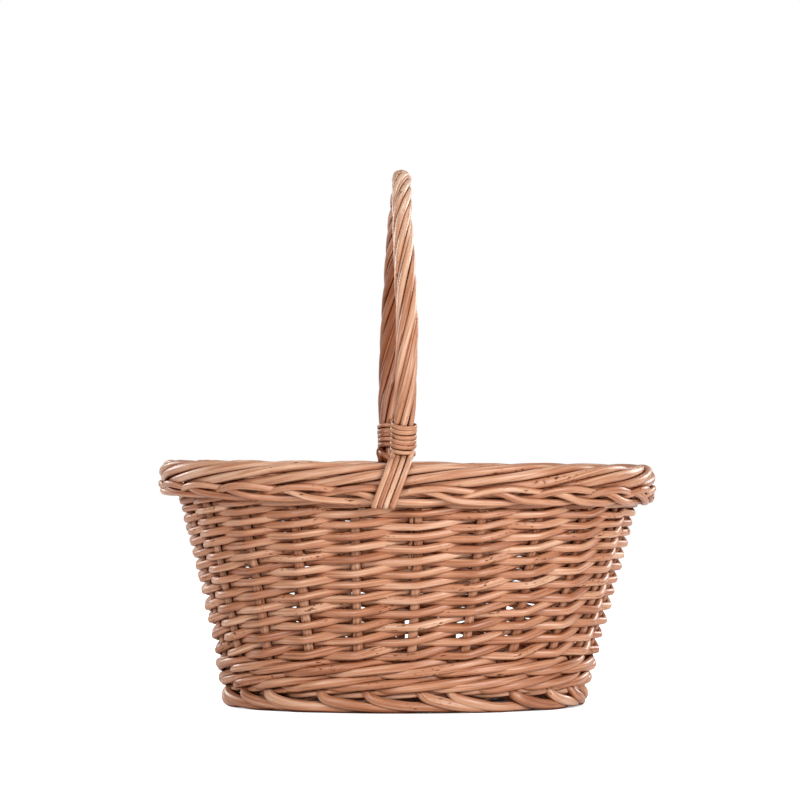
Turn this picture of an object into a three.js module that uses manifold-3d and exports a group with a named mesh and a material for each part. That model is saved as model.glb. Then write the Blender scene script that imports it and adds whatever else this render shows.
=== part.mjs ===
// Oval willow basket with a roped bow handle, in millimetres.
// The ground is z = 0, x runs along the length and the front is toward -y.
// Round the wall, places are counted in stakes: 0 is the front centre stake, and the count grows to the right.
import * as THREE from "three";
import { mergeVertices } from "three/addons/utils/BufferGeometryUtils.js";
import Module from "manifold-3d";

const wasm = await Module();
wasm.setup();

// Overall sizes
const RIM_LENGTH = 320;
const RIM_WIDTH = 244;
const FOOT_LENGTH = 234;
const FOOT_WIDTH = 172;
const BODY_HEIGHT = 154.7;
const OVERALL_HEIGHT = 344.3;
const FLARE_SAG = 2.2; // the wall bows in this much at half height
const RIM_LEAN = 6; // the left end of the rim stands this much above the right end

// Rods
const STAKE_COUNT = 22;
const STAKE_DIAMETER = 5.2;
const WEAVER_DIAMETER = 3.75;
const STICK_DIAMETER = 5.4;
const ROPING_DIAMETER = 3.3;
const TAIL_DIAMETER = 2.9;
const LAPPING_WIDTH = 3.1;
const LAPPING_THICKNESS = 1.5;
const CLEARANCE = 0.3; // left between pieces that bear on each other
const ROD_SIDES = 5;

// Base and foot
const LONG_STICKS = 3;
const CROSS_STICKS = 5;
const LONG_STICK_SPACING = 13;
const BASE_THICKNESS = 8;
const FOOT_HEIGHT = 11.5;
const FOOT_REACH = 8; // beyond the stakes' middle line
const FOOT_INSIDE = 3;
const RING_CHAMFER = 2;
const STAKE_BUTT = 13; // length of a stake's butt under the base
const STICK_GAP = 4; // between a stick's end and the butts
const BED_DEPTH = 0.7; // of a rod's radius, from its middle to the base's underside

// Wall
const UPSETT_HEIGHT = 24;
const WEAVER_TAIL = 0.3; // in stakes, past the stake that an end rests on
const SLOPE_ALLOWANCE = 1.02; // rods that climb need this much more height
const UPRIGHT_STEPS = 3;

// Border
const ROLL_LAY = 5.4; // stakes passed in one turn round the roll
const ROLL_SPAN = 4.5; // stakes passed by each laid top
const ROLL_ENTRY = THREE.MathUtils.degToRad(-150);
const ROLL_SLACK = 1.1;
const BEND_RISE = 4; // height of the bend from a stake into the roll
const BEND_RUN = 0.18; // its run, in stakes
const TRAC_HEIGHT = 11;
const TRAC_THICKNESS = 7.4;

// Handle
const ROPING_RODS = 8;
const ROPING_TURNS = 4.5;
const STEPS_PER_TURN = 8;
const ROPING_SLACK = 1.09;
const BOW_OFFSET = 7; // the bow stands this far left of the centre stakes
const BOW_INSET = 6; // and this far inside the stakes' line at the roll
const BOW_SPREAD = 12; // the arch is this much wider than its feet on each side
const BOW_SHOULDER = 55; // height of its widest place above the feet
const BOW_FULLNESS = 0.42; // 0.55 makes the crown round, less makes it pointed
const BOW_LEAN = 0.22; // outward run of the legs for each unit of rise at the feet
const BOW_STEPS = 24;
const BOW_TIP_DIAMETER = 2.8;
const BOW_TIP_LENGTH = 40; // below the siding's top
const TAIL_SLANT = 11; // a tail's foot lies this far left of its top, seen from outside
const TAIL_STEPS = 4; // round the roll
const LAPPING_TURNS = 6;
const LAPPING_GAP = 0.65;
const LAPPING_START = 5; // above the handle's foot
const LAPPING_STEPS = 14; // in one turn

const stakeRadius = STAKE_DIAMETER / 2;
const weaverRadius = WEAVER_DIAMETER / 2;
const ropingRadius = ROPING_DIAMETER / 2;
const tailRadius = TAIL_DIAMETER / 2;
const backStake = STAKE_COUNT / 2;

// Border roll: the laid tops lie round an empty middle
const rollRadius = (ROLL_SLACK * (STAKE_DIAMETER + CLEARANCE)) / (2 * Math.sin(Math.PI / ROLL_LAY));
const rollReach = rollRadius + stakeRadius;
const rollHeight = BODY_HEIGHT - rollReach;
const rollOffset = -rollRadius * Math.cos(ROLL_ENTRY);
const rollEdge = rollOffset + rollReach;

// Heights up the wall
const buttHeight = FOOT_HEIGHT + CLEARANCE + stakeRadius;
const baseBottom = buttHeight - BED_DEPTH * stakeRadius;
const baseTop = baseBottom + BASE_THICKNESS;
const upsettBottom = FOOT_HEIGHT + CLEARANCE;
const upsettTop = upsettBottom + UPSETT_HEIGHT;
const tracTop = rollHeight - rollReach - CLEARANCE;
const tracBottom = tracTop - TRAC_HEIGHT;
const bendHeight = rollHeight - rollRadius - BEND_RISE;

// Half axes of the stakes' oval at a height
function ovalAt(z) {
  const up = z / rollHeight;
  const sag = 4 * FLARE_SAG * up * (1 - up);
  return {
    a: THREE.MathUtils.lerp(FOOT_LENGTH / 2 - FOOT_REACH, RIM_LENGTH / 2 - rollEdge, up) - sag,
    b: THREE.MathUtils.lerp(FOOT_WIDTH / 2 - FOOT_REACH, RIM_WIDTH / 2 - rollEdge, up) - sag,
  };
}

function turnOf(stake) {
  return (2 * Math.PI * stake) / STAKE_COUNT;
}

// Outward direction of the wall at a stake count
function facingAt(stake, z) {
  const { a, b } = ovalAt(z);
  return new THREE.Vector3(b * Math.sin(turnOf(stake)), -a * Math.cos(turnOf(stake)), 0).normalize();
}

// Point beside the wall: out is measured from the stakes' oval at the given level
function wallPoint(stake, z, out, level = z) {
  const { a, b } = ovalAt(level);
  const point = new THREE.Vector3(a * Math.sin(turnOf(stake)), -b * Math.cos(turnOf(stake)), z);
  point.addScaledVector(facingAt(stake, level), out);
  const up = Math.max(0, (z - upsettTop) / (BODY_HEIGHT - upsettTop));
  point.z -= (RIM_LEAN * up * point.x) / RIM_LENGTH;
  return point;
}

// Distance from stake to stake along the wall
function spacingAt(stake, z) {
  return wallPoint(stake + 0.5, z, 0).distanceTo(wallPoint(stake - 0.5, z, 0));
}

// Directions along a line of points
function headings(points) {
  return points.map((point, i) => {
    const before = points[Math.max(0, i - 1)];
    const after = points[Math.min(points.length - 1, i + 1)];
    const arriving = point.clone().sub(before).normalize();
    const leaving = after.clone().sub(point).normalize();
    return arriving.add(leaving).normalize();
  });
}

// Outward directions square to the line: given ones, or one carried along without twisting
function outwards(along, facing) {
  const start = Math.abs(along[0].z) < 0.8 ? new THREE.Vector3(0, 0, 1) : new THREE.Vector3(1, 0, 0);
  let carried = start;
  return along.map((direction, i) => {
    carried = (facing ? facing[i] : carried).clone();
    carried.addScaledVector(direction, -carried.dot(direction)).normalize();
    return carried;
  });
}

// Rod bent along a line of points, with a thickness and a width at each point
function rod(points, sizes, facing) {
  const steps = points.length - 1;
  const geometry = new THREE.CylinderGeometry(0.5, 0.5, steps, ROD_SIDES, steps);
  const place = geometry.attributes.position;
  const along = headings(points);
  const outward = outwards(along, facing);
  for (let i = 0; i < place.count; i += 1) {
    const step = Math.round(place.getY(i) + steps / 2);
    const across = along[step].clone().cross(outward[step]);
    const corner = points[step].clone();
    corner.addScaledVector(across, place.getX(i) * sizes[step].wide);
    corner.addScaledVector(outward[step], place.getZ(i) * sizes[step].thick);
    place.setXYZ(i, corner.x, corner.y, corner.z);
  }
  return geometry;
}

function roundRod(points, diameter, facing) {
  return rod(points, points.map(() => ({ thick: diameter, wide: diameter })), facing);
}

// Closed ring round the wall from an outline of out and height
function wallRing(outline, level) {
  const hub = RIM_LENGTH;
  const profile = [...outline, outline[0]].map(([out, z]) => new THREE.Vector2(hub + out, z));
  const geometry = new THREE.LatheGeometry(profile, 2 * STAKE_COUNT);
  const place = geometry.attributes.position;
  for (let i = 0; i < place.count; i += 1) {
    const stake = (Math.atan2(place.getX(i), place.getZ(i)) * STAKE_COUNT) / (2 * Math.PI);
    const out = Math.hypot(place.getX(i), place.getZ(i)) - hub;
    const point = wallPoint(stake, place.getY(i), out, level ?? place.getY(i));
    place.setXYZ(i, point.x, point.y, point.z);
  }
  return geometry;
}

function chamferedOutline(inside, outside, bottom, top) {
  return [
    [inside + RING_CHAMFER, bottom],
    [outside - RING_CHAMFER, bottom],
    [outside, bottom + RING_CHAMFER],
    [outside, top - RING_CHAMFER],
    [outside - RING_CHAMFER, top],
    [inside + RING_CHAMFER, top],
    [inside, top - RING_CHAMFER],
    [inside, bottom + RING_CHAMFER],
  ];
}

function toSolid(geometry) {
  const bare = geometry.clone();
  bare.deleteAttribute("normal");
  bare.deleteAttribute("uv");
  const merged = mergeVertices(bare, 1e-3);
  const mesh = new wasm.Mesh({
    numProp: 3,
    vertProperties: new Float32Array(merged.attributes.position.array),
    triVerts: new Uint32Array(merged.index.array),
  });
  return new wasm.Manifold(mesh);
}

function toGeometry(solid) {
  const mesh = solid.getMesh();
  const geometry = new THREE.BufferGeometry();
  geometry.setAttribute("position", new THREE.BufferAttribute(new Float32Array(mesh.vertProperties), 3));
  geometry.setIndex(new THREE.BufferAttribute(new Uint32Array(mesh.triVerts), 1));
  return geometry;
}

const stakeWillow = new THREE.MeshStandardMaterial({ color: 0xb07f5c, roughness: 0.5, metalness: 0 });
const weaverWillow = new THREE.MeshStandardMaterial({ color: 0xbb8b68, roughness: 0.45, metalness: 0 });
const handleWillow = new THREE.MeshStandardMaterial({ color: 0xc79a78, roughness: 0.45, metalness: 0 });
const basket = new THREE.Group();
basket.name = "oval_willow_basket";

function addPiece(name, geometry, material) {
  geometry.computeVertexNormals();
  const mesh = new THREE.Mesh(geometry, material);
  mesh.name = name;
  basket.add(mesh);
}

function numbered(name, index) {
  return `${name}_${String(index + 1).padStart(2, "0")}`;
}

function countTo(count) {
  return Array.from({ length: count }, (_, i) => i);
}

const stakes = countTo(STAKE_COUNT);

// Stakes: butt under the base, upright, bend and top laid along the roll
function buttPoints(stake, extra = 0) {
  return [
    wallPoint(stake, buttHeight, -STAKE_BUTT - extra),
    wallPoint(stake, buttHeight, -STAKE_DIAMETER),
    wallPoint(stake, buttHeight + 0.25 * STAKE_DIAMETER, -0.25 * STAKE_DIAMETER),
    wallPoint(stake, buttHeight + STAKE_DIAMETER, 0),
  ];
}

function uprightPoints(stake) {
  const bottom = buttHeight + STAKE_DIAMETER;
  return countTo(UPRIGHT_STEPS).map((i) => {
    return wallPoint(stake, THREE.MathUtils.lerp(bottom, bendHeight, (i + 1) / UPRIGHT_STEPS), 0);
  });
}

function rollPoint(stake, past) {
  const angle = ROLL_ENTRY + (2 * Math.PI * past) / ROLL_LAY;
  const out = rollOffset + rollRadius * Math.cos(angle);
  return wallPoint(stake + past, rollHeight + rollRadius * Math.sin(angle), out, rollHeight);
}

function laidPoints(stake) {
  const bend = wallPoint(stake + BEND_RUN, rollHeight - rollRadius, 0, rollHeight);
  return [bend, ...countTo(2 * ROLL_SPAN).map((i) => rollPoint(stake, (i + 1) / 2))];
}

for (const stake of stakes) {
  const points = [...buttPoints(stake), ...uprightPoints(stake), ...laidPoints(stake)];
  addPiece(numbered("stake", stake), roundRod(points, STAKE_DIAMETER), stakeWillow);
}

// Slath: cross sticks in line with the stakes, pierced by the long sticks
const baseOval = {
  a: ovalAt(baseBottom).a - STAKE_DIAMETER - CLEARANCE,
  b: ovalAt(baseBottom).b - STAKE_DIAMETER - CLEARANCE,
};
const slathOval = {
  a: ovalAt(baseBottom).a - STAKE_BUTT - STICK_GAP,
  b: ovalAt(baseBottom).b - STAKE_BUTT - STICK_GAP,
};

function stick(middle, half, extra) {
  const from = middle.clone().addScaledVector(half, -1 - extra / half.length());
  const to = middle.clone().addScaledVector(half, 1 + extra / half.length());
  return toSolid(roundRod([from, to], STICK_DIAMETER + 2 * extra));
}

function slathSolid(extra) {
  const height = baseBottom + (BED_DEPTH * STICK_DIAMETER) / 2;
  const crossSticks = countTo(CROSS_STICKS).map((i) => {
    const x = ovalAt(baseBottom).a * Math.sin(turnOf(i - (CROSS_STICKS - 1) / 2));
    const half = slathOval.b * Math.sqrt(1 - (x / slathOval.a) ** 2);
    return stick(new THREE.Vector3(x, 0, height), new THREE.Vector3(0, half, 0), extra);
  });
  const longSticks = countTo(LONG_STICKS).map((i) => {
    const y = LONG_STICK_SPACING * (i - (LONG_STICKS - 1) / 2);
    const half = slathOval.a * Math.sqrt(1 - (y / slathOval.b) ** 2);
    return stick(new THREE.Vector3(0, y, height), new THREE.Vector3(half, 0, 0), extra);
  });
  return [...crossSticks, ...longSticks].reduce((whole, each) => whole.add(each));
}

addPiece("base_slath", toGeometry(slathSolid(0)), stakeWillow);

// Woven base, bedded on the sticks and the stakes' butts
const baseShape = new THREE.Shape().absellipse(0, 0, baseOval.a, baseOval.b, 0, 2 * Math.PI);
const baseBlank = new THREE.ExtrudeGeometry(baseShape, {
  depth: BASE_THICKNESS,
  bevelEnabled: false,
  curveSegments: STAKE_COUNT,
});
baseBlank.translate(0, 0, baseBottom);
let baseSolid = toSolid(baseBlank).subtract(slathSolid(CLEARANCE));
for (const stake of stakes) {
  const bed = roundRod(buttPoints(stake, CLEARANCE), STAKE_DIAMETER + 2 * CLEARANCE);
  baseSolid = baseSolid.subtract(toSolid(bed));
}
addPiece("base_weave", toGeometry(baseSolid), weaverWillow);

const footOutline = chamferedOutline(-FOOT_INSIDE, FOOT_REACH, 0, FOOT_HEIGHT);
addPiece("foot_border", wallRing(footOutline), stakeWillow);

// Weave: how far a weaver's middle stands off the stakes' line
const flare = (ovalAt(rollHeight).a - ovalAt(tracBottom).a) / (rollHeight - tracBottom);
const bearing = (stakeRadius + weaverRadius + CLEARANCE) * Math.hypot(1, flare);
const closest = spacingAt(STAKE_COUNT / 4, upsettTop);
const weaveOffset = bearing / Math.sqrt(1 - (2 * bearing / closest) ** 2);
const weaveReach = weaveOffset + weaverRadius;

// Upsett: an outer band down to the foot, and the part that the stakes pass through
const upsettOutline = [
  [stakeRadius + 2 * CLEARANCE, upsettBottom],
  [weaveReach, upsettBottom],
  [weaveReach, upsettTop],
  [-weaveReach, upsettTop],
  [-weaveReach, baseTop + CLEARANCE],
  [stakeRadius + 2 * CLEARANCE, baseTop + CLEARANCE],
];
let upsettSolid = toSolid(wallRing(upsettOutline));
for (const stake of stakes) {
  const bore = [wallPoint(stake, buttHeight + STAKE_DIAMETER, 0), ...uprightPoints(stake)];
  const facing = bore.map(() => facingAt(stake, upsettTop).negate());
  upsettSolid = upsettSolid.subtract(toSolid(roundRod(bore, STAKE_DIAMETER + 2 * CLEARANCE, facing)));
}
addPiece("upsett_wale", toGeometry(upsettSolid), weaverWillow);

// Siding: each weaver goes in front of one stake and behind the next, climbing half a round for each
const pitch = 2 * SLOPE_ALLOWANCE * (WEAVER_DIAMETER + CLEARANCE);
const tailRise = (WEAVER_TAIL * pitch) / 2;
const sidingBottom = upsettTop + CLEARANCE + weaverRadius + tailRise;
const sidingTop = tracTop - CLEARANCE - weaverRadius - tailRise;
const rounds = Math.floor((sidingTop - sidingBottom) / pitch);

for (const stake of stakes) {
  const passes = countTo(2 * rounds + 1);
  const past = [-WEAVER_TAIL, ...passes, 2 * rounds + WEAVER_TAIL];
  const points = past.map((count) => {
    const side = Math.round(count) % 2 === 0 ? -1 : 1;
    return wallPoint(stake - 1 + count, sidingBottom + (count * pitch) / 2, side * weaveOffset);
  });
  addPiece(numbered("weaver", stake), roundRod(points, WEAVER_DIAMETER), weaverWillow);
}

const tracOutline = chamferedOutline(rollEdge - TRAC_THICKNESS, rollEdge, tracBottom, tracTop);
addPiece("border_trac", wallRing(tracOutline, rollHeight), weaverWillow);

// Handle bow: an arch over the basket, with thin tips beside the front and back centre stakes
const ropingLine = (ROPING_SLACK * (ROPING_DIAMETER + CLEARANCE)) / (2 * Math.sin(Math.PI / ROPING_RODS));
const bowDiameter = 2 * (ropingLine * Math.cos(Math.PI / STEPS_PER_TURN) - ropingRadius - CLEARANCE);
const handleRadius = ropingLine + ropingRadius;
const archFoot = BODY_HEIGHT + ropingRadius + 2 * CLEARANCE;
const archHalf = ovalAt(rollHeight).b - BOW_INSET;

function archLeg(side) {
  const foot = new THREE.Vector3(-BOW_OFFSET, side * archHalf, archFoot);
  const widest = new THREE.Vector3(-BOW_OFFSET, side * (archHalf + BOW_SPREAD), archFoot + BOW_SHOULDER);
  const crown = new THREE.Vector3(-BOW_OFFSET, 0, OVERALL_HEIGHT - handleRadius);
  const third = BOW_SHOULDER / 3;
  const leaving = foot.clone().add(new THREE.Vector3(0, side * BOW_LEAN * third, third));
  const arriving = widest.clone().setZ(widest.z - third);
  const rising = widest.clone().setZ(THREE.MathUtils.lerp(widest.z, crown.z, BOW_FULLNESS));
  const closing = crown.clone().setY(widest.y * BOW_FULLNESS);
  const lower = new THREE.CubicBezierCurve3(foot, leaving, arriving, widest);
  const upper = new THREE.CubicBezierCurve3(widest, rising, closing, crown);
  return [lower, upper];
}

function reversed(curve) {
  return new THREE.CubicBezierCurve3(curve.v3, curve.v2, curve.v1, curve.v0);
}

const arch = new THREE.CurvePath();
for (const curve of archLeg(-1)) {
  arch.add(curve);
}
for (const curve of archLeg(1).reverse()) {
  arch.add(reversed(curve));
}

// Place on a ring round the bow: the turn is counted from the arch's outside toward +x
const sideways = new THREE.Vector3(1, 0, 0);
function roundBow(along, radius, turn) {
  const direction = arch.getTangent(along);
  const outward = sideways.clone().cross(direction);
  const facing = outward.multiplyScalar(Math.cos(turn)).addScaledVector(sideways, Math.sin(turn));
  return { point: arch.getPoint(along).addScaledVector(facing, radius), facing };
}

// Place near a centre stake: left is measured toward -x on both sides of the basket
function besideCentre(side, left, z, out, level = z) {
  const shift = left / spacingAt(0, level);
  return wallPoint(side < 0 ? -shift : backStake + shift, z, out, level);
}

const tipLeft = stakeRadius + CLEARANCE + BOW_TIP_DIAMETER / 2;
function tipPoints(side) {
  return [
    besideCentre(side, tipLeft, sidingTop - BOW_TIP_LENGTH, 0),
    besideCentre(side, tipLeft, sidingTop, 0),
    besideCentre(side, tipLeft, rollHeight - rollReach, -BOW_INSET, rollHeight),
    besideCentre(side, tipLeft, rollHeight + rollReach / 3, -BOW_INSET, rollHeight),
  ];
}

const archPoints = countTo(BOW_STEPS + 1).map((i) => arch.getPoint(i / BOW_STEPS));
const frontTip = tipPoints(-1);
const backTip = tipPoints(1).reverse();
const bowSizes = [
  ...frontTip.map(() => ({ thick: BOW_TIP_DIAMETER, wide: BOW_TIP_DIAMETER })),
  ...archPoints.map(() => ({ thick: bowDiameter, wide: bowDiameter })),
  ...backTip.map(() => ({ thick: BOW_TIP_DIAMETER, wide: BOW_TIP_DIAMETER })),
];
addPiece("handle_bow", rod([...frontTip, ...archPoints, ...backTip], bowSizes), handleWillow);

// Roping: half of the rods end as tails over the border at the front, the others at the back
const tailCount = ROPING_RODS / 2;
const tailLine = rollReach + tailRadius + 2 * CLEARANCE;

function tailPoints(lane, side) {
  const spread = (lane - (tailCount - 1) / 2) * (TAIL_DIAMETER + 3 * CLEARANCE);
  const overRoll = countTo(TAIL_STEPS + 1).map((i) => {
    const angle = THREE.MathUtils.degToRad(100 * (1 - i / TAIL_STEPS));
    return [rollOffset + tailLine * Math.cos(angle), rollHeight + tailLine * Math.sin(angle)];
  });
  const downTrac = [
    [rollOffset + tailLine, tracBottom + RING_CHAMFER],
    [rollEdge, tracBottom - tailRadius - CLEARANCE],
    [rollEdge - TRAC_THICKNESS / 2, tracBottom - tailRadius - 2 * CLEARANCE],
  ];
  const drop = archFoot - tracBottom;
  return [...overRoll, ...downTrac].map(([out, z]) => {
    const slant = (side * TAIL_SLANT * (archFoot - z)) / drop;
    return besideCentre(side, BOW_OFFSET - spread - slant, z, out, rollHeight);
  });
}

const helixSteps = ROPING_TURNS * STEPS_PER_TURN;
for (const index of countTo(ROPING_RODS)) {
  const start = (2 * Math.PI * (index - (tailCount - 1) / 2)) / ROPING_RODS;
  const winding = countTo(helixSteps + 1).map((i) => {
    return roundBow(i / helixSteps, ropingLine, start + (2 * Math.PI * i) / STEPS_PER_TURN).point;
  });
  const atFront = index < tailCount;
  const tail = tailPoints(index % tailCount, atFront ? -1 : 1);
  const points = atFront ? [...winding.reverse(), ...tail] : [...winding, ...tail];
  const sizes = points.map((_, i) => {
    const thinning = THREE.MathUtils.clamp((i - helixSteps + 3) / 2, 0, 1);
    const diameter = THREE.MathUtils.lerp(ROPING_DIAMETER, TAIL_DIAMETER, thinning);
    return { thick: diameter, wide: diameter };
  });
  addPiece(numbered("roping_rod", index), rod(points, sizes), handleWillow);
}

// Lapping: a flat binding wound round each foot of the handle
const lappingLine = handleRadius + CLEARANCE + LAPPING_THICKNESS / 2;
const lappingPitch = LAPPING_WIDTH + LAPPING_GAP;

function leastGap(points) {
  let least = Infinity;
  points.forEach((point, i) => {
    for (const other of points.slice(i + LAPPING_STEPS / 2)) {
      least = Math.min(least, point.distanceTo(other) - LAPPING_WIDTH);
    }
  });
  return least;
}

function addLapping(name, side) {
  const coil = countTo(LAPPING_TURNS * LAPPING_STEPS + 1).map((i) => {
    const run = (LAPPING_START + (lappingPitch * i) / LAPPING_STEPS) / arch.getLength();
    const turn = (2 * Math.PI * i) / LAPPING_STEPS;
    return roundBow(side < 0 ? run : 1 - run, lappingLine, side * turn);
  });
  const points = coil.map((place) => place.point);
  const facing = coil.map((place) => place.facing);
  console.log(`${name}: least gap between turns ${leastGap(points).toFixed(2)} mm`);
  const sizes = points.map(() => ({ thick: LAPPING_THICKNESS, wide: LAPPING_WIDTH }));
  addPiece(name, rod(points, sizes, facing), handleWillow);
}

addLapping("front_lapping", -1);
addLapping("back_lapping", 1);

export default basket;
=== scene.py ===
import math

import bmesh
import bpy
import numpy as np
from bpy.props import FloatProperty, FloatVectorProperty, IntProperty, PointerProperty
from mathutils import Color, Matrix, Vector


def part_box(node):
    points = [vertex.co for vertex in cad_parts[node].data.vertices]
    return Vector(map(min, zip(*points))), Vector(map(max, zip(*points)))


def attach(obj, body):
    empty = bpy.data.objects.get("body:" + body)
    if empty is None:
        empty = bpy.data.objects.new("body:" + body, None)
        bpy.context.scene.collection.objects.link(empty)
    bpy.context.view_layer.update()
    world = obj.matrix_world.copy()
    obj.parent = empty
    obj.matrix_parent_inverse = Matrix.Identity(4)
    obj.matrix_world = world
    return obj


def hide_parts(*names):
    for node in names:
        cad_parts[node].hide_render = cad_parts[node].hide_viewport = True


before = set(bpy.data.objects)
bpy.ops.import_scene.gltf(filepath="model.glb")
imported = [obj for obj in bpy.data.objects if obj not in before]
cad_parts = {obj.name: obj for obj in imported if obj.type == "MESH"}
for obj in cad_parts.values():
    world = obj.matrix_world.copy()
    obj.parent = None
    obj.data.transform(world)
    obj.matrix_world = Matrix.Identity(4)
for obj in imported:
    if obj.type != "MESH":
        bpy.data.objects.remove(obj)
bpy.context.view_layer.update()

bl_info = {
    "name": "Oval willow basket",
    "version": (1, 0, 0),
    "blender": (4, 5, 0),
    "location": "View3D > Sidebar > Basket",
    "description": "Weaves an oval willow basket with a roped bow handle",
    "category": "Add Mesh",
}

FOOT_LOW, FOOT_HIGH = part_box("foot_border")
TRAC_LOW, TRAC_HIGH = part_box("border_trac")
UPSETT_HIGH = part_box("upsett_wale")[1]
BASE_LOW, BASE_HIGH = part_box("base_weave")

COLOURS = ("Pale", "Tan", "Brown", "Speck", "Crevice")
# Material and shade of each slot
WILLOWS = {
    "stake_willow": ("varnished_stake", 0.98),
    "weaver_willow": ("varnished_weaver", 1.0),
    "handle_willow": ("varnished_handle", 0.99),
}
# Waves of noise in a metre, across a rod both ways and along it
STREAKS = (800, 800, 18)
BLOTCHES = (120, 120, 26)
DOTS = (650, 650, 260)
PATCHES = (70, 70, 24)
# How far the painted shade in the grooves between rods looks for nearby rods
PAINTED_SHADE_REACH = 0.003
GRAIN_RELIEF = 0.0004
VARNISH_ROUGHNESS = 0.3
CROWN_FALL = 0.0045
CROWN_RISE = 0.001
TURN_STEPS = 28  # points in one turn of a wound rod


def metres(name, description, default):
    """A length that a user can set"""
    return FloatProperty(name=name, description=description, default=default, unit="LENGTH")


def picked_colour(name, description, default):
    """A colour that a user can set"""
    return FloatVectorProperty(
        name=name, description=description, default=default, subtype="COLOR_GAMMA", size=3, min=0, max=1)


class BasketSizes(bpy.types.PropertyGroup):
    """Real sizes of the basket and its rods"""

    rim_length: metres("Rim length", "Length over the border", TRAC_HIGH.x - TRAC_LOW.x)
    rim_width: metres("Rim width", "Width over the border", TRAC_HIGH.y - TRAC_LOW.y)
    foot_length: metres("Foot length", "Length over the foot border", FOOT_HIGH.x - FOOT_LOW.x)
    foot_width: metres("Foot width", "Width over the foot border", FOOT_HIGH.y - FOOT_LOW.y)
    body_height: metres("Body height", "Height of the border's top", 0.1565)
    overall_height: metres("Overall height", "Height of the handle's top", 0.3458)
    flare_sag: metres("Flare sag", "How far the wall bows in at half height", 0.0002)
    rim_lean: metres("Rim lean", "How far the left end of the rim stands above the right", 0.0035)
    foot_shift: metres("Foot shift", "How far the foot stands left of the rim", 0.002)
    wall_bow: metres("Wall bow", "How far the wall stands to the right at half height", 0.0012)
    stake_count: IntProperty(name="Stakes", description="Number of stakes", default=22)
    stake_lean: FloatProperty(
        name="Stake lean", description="How far the stakes lean to the right, in stakes", default=0.10)
    stake: metres("Stake", "Thickness of a stake in the wall", 0.0052)
    border_rod: metres("Border rod", "Thickness of a laid top in the border", 0.0058)
    weaver_butt: metres("Weaver butt", "Thickness of a weaver at its start", 0.0061)
    weaver_tip: metres("Weaver tip", "Thickness of a weaver at its end", 0.0053)
    wale_rod: metres("Wale rod", "Thickness of an upsett rod", 0.0055)
    foot_rod: metres("Foot rod", "Thickness of a foot border rod", 0.0066)
    trac_rod: metres("Trac rod", "Thickness of a trac rod", 0.0042)
    base_stick: metres("Base stick", "Thickness of a base stick", 0.0054)
    base_weaver: metres("Base weaver", "Thickness of a base weaver", 0.0034)
    roping_rod: metres("Roping rod", "Thickness of a rod wound round the bow", 0.0038)
    roping_turns: FloatProperty(
        name="Roping turns", description="Turns of the roping from foot to foot", default=3.5)
    lapping_width: metres("Lapping width", "Width of the binding at the handle's feet", 0.0030)
    lapping_turns: IntProperty(name="Lapping turns", description="Turns of each binding", default=6)


class WillowColours(bpy.types.PropertyGroup):
    """Colours of the varnished willow"""

    pale: picked_colour("Pale willow", "Lightest streaks", (0.84, 0.685, 0.57))
    tan: picked_colour("Tan willow", "Main colour", (0.72, 0.495, 0.365))
    brown: picked_colour("Brown willow", "Darkest rods", (0.56, 0.325, 0.20))
    speck: picked_colour("Speck", "Bark specks and bud scars", (0.27, 0.14, 0.08))
    # Darkest red-brown: painted shade mixed into the grooves where rods meet
    crevice: picked_colour("Crevice", "Painted shade where rods meet", (0.34, 0.085, 0.01))


class StageSettings(bpy.types.PropertyGroup):
    """Place and lens of the camera"""

    azimuth: FloatProperty(
        name="Azimuth", description="Camera's place round the basket", subtype="ANGLE",
        default=math.radians(-2.75))
    distance: metres("Distance", "Camera's distance", 2.5)
    eye_height: metres("Eye height", "Camera's height", 0.1694)
    aim: FloatVectorProperty(
        name="Aim", description="Point in the middle of the picture", subtype="XYZ",
        default=(-0.0048, 0.0, 0.1969), unit="LENGTH")
    lens: FloatProperty(name="Lens", description="Focal length", default=174.2, unit="CAMERA")


def sizes():
    return bpy.context.scene.basket_sizes


def numbered(name, index):
    return f"{name}_{index + 1:02d}"


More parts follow.
